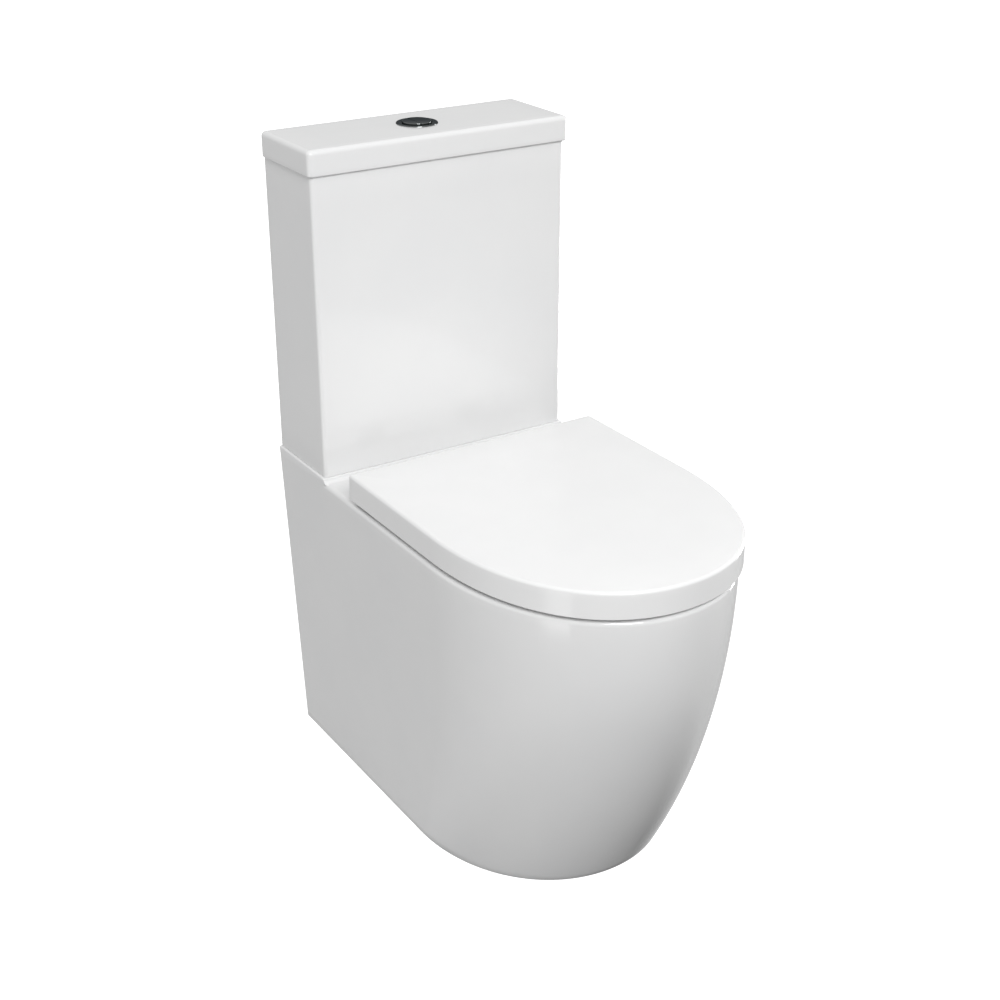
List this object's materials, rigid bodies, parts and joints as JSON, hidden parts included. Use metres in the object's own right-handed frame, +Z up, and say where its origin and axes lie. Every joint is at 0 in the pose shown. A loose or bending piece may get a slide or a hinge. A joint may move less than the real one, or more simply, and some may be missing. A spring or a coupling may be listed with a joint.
{
  "type": "close coupled toilet",
  "caption": "Close coupled back-to-wall toilet: D-shaped skirted pan, slim cistern with lift-off lid and split flush button, wrap-over seat on top-fixed hinges.",
  "frame": {"origin": "on the floor under the middle of the overall box", "axes": "+Z up, -Y towards the front of the seat, +Y towards the wall, +X to the right as seen from the front looking along +Y"},
  "size_m": [0.362, 0.634, 0.8384],
  "materials": {
    "vitreous_china": "white gloss glaze",
    "seat_thermoset": "white moulded gloss",
    "polished_chrome": "mirror plated",
    "stainless_steel": "plain stainless",
    "brass": "plain brass",
    "black_rubber": "moulded rubber",
    "pale_rubber": "soft translucent white",
    "valve_plastic": "moulded satin",
    "coloured_valve_plastic": "moulded satin blue"
  },
  "bodies": {
    "root": {"pan": "vitreous_china", "coupling_gasket": "black_rubber", "cistern": "vitreous_china", "coupling_bolts": "stainless_steel", "bolt_rubber_washers": "black_rubber", "bolt_soft_washers": "black_rubber", "bolt_steel_washers": "stainless_steel", "wing_nuts": "brass", "flush_valve_base": "valve_plastic", "flush_valve_washer": "black_rubber", "flush_valve_nut": "coloured_valve_plastic", "flush_valve_body": "valve_plastic", "flush_valve_cap": "valve_plastic", "fill_valve_body": "valve_plastic", "fill_valve_washer": "black_rubber", "fill_valve_nut": "coloured_valve_plastic", "fill_valve_head": "valve_plastic", "hinge_pillars": "polished_chrome", "hinge_base_plates": "polished_chrome", "seat_bolts": "stainless_steel", "seat_bolt_bushes": "black_rubber", "seat_bolt_nuts": "valve_plastic"},
    "cistern_lid": {"cistern_lid": "vitreous_china", "button_bezel": "polished_chrome", "button_housing": "valve_plastic", "button_lock_nut": "coloured_valve_plastic"},
    "full_flush_button": {"full_flush_button": "polished_chrome", "full_push_rod": "valve_plastic", "full_button_spring": "stainless_steel"},
    "half_flush_button": {"half_flush_button": "polished_chrome", "half_push_rod": "valve_plastic", "half_button_spring": "stainless_steel"},
    "full_flush_pad": {"full_flush_pad": "coloured_valve_plastic"},
    "half_flush_pad": {"half_flush_pad": "coloured_valve_plastic"},
    "flush_lifter": {"overflow_tube": "coloured_valve_plastic", "flush_seal": "black_rubber"},
    "fill_float": {"fill_float": "valve_plastic", "float_link": "valve_plastic"},
    "fill_lever": {"fill_lever": "coloured_valve_plastic"},
    "seat_ring": {"seat_ring": "seat_thermoset", "ring_bumpers": "pale_rubber", "hinge_pins": "stainless_steel"},
    "seat_cover": {"seat_cover": "seat_thermoset", "cover_bumpers": "pale_rubber"}
  },
  "joints": [
    {"name": "seat_ring_hinge", "type": "hinge", "parent": "root", "child": "seat_ring", "pos_m": [0, 0.1118, 0.44], "axis": [1, 0, 0], "range_deg": [-95, 0]},
    {"name": "seat_cover_hinge", "type": "hinge", "parent": "seat_ring", "child": "seat_cover", "pos_m": [0, 0.1118, 0.44], "axis": [-1, 0, 0], "range_deg": [0, 97]},
    {"name": "cistern_lid_lift", "type": "slide", "parent": "root", "child": "cistern_lid", "axis": [0, 0, 1], "range_m": [0, 0.15]},
    {"name": "full_button_press", "type": "slide", "parent": "cistern_lid", "child": "full_flush_button", "axis": [0, 0, -1], "range_m": [0, 0.006], "stiffness_N_per_m": 300, "springref_m": -0.006, "deforming": ["full_button_spring"]},
    {"name": "half_button_press", "type": "slide", "parent": "cistern_lid", "child": "half_flush_button", "axis": [0, 0, -1], "range_m": [0, 0.006], "stiffness_N_per_m": 300, "springref_m": -0.006, "deforming": ["half_button_spring"]},
    {"name": "full_pad_press", "type": "slide", "parent": "root", "child": "full_flush_pad", "axis": [0, 0, -1], "range_m": [0, 0.006]},
    {"name": "half_pad_press", "type": "slide", "parent": "root", "child": "half_flush_pad", "axis": [0, 0, -1], "range_m": [0, 0.006]},
    {"name": "flush_valve_lift", "type": "slide", "parent": "root", "child": "flush_lifter", "axis": [0, 0, 1], "range_m": [0, 0.012]},
    {"name": "float_rise", "type": "slide", "parent": "root", "child": "fill_float", "axis": [0, 0, 1], "range_m": [0, 0.03]},
    {"name": "fill_lever_turn", "type": "hinge", "parent": "root", "child": "fill_lever", "pos_m": [-0.134, 0.252, 0.7185], "axis": [0, -1, 0], "range_deg": [0, 43.5]}
  ],
  "couplings": [
    {"joint": "full_pad_press", "follows": "full_button_press", "ratio": 1},
    {"joint": "half_pad_press", "follows": "half_button_press", "ratio": 1},
    {"joint": "flush_valve_lift", "follows": "full_button_press", "ratio": 2},
    {"joint": "fill_lever_turn", "follows": "float_rise", "rad_per_m": 25.245}
  ]
}
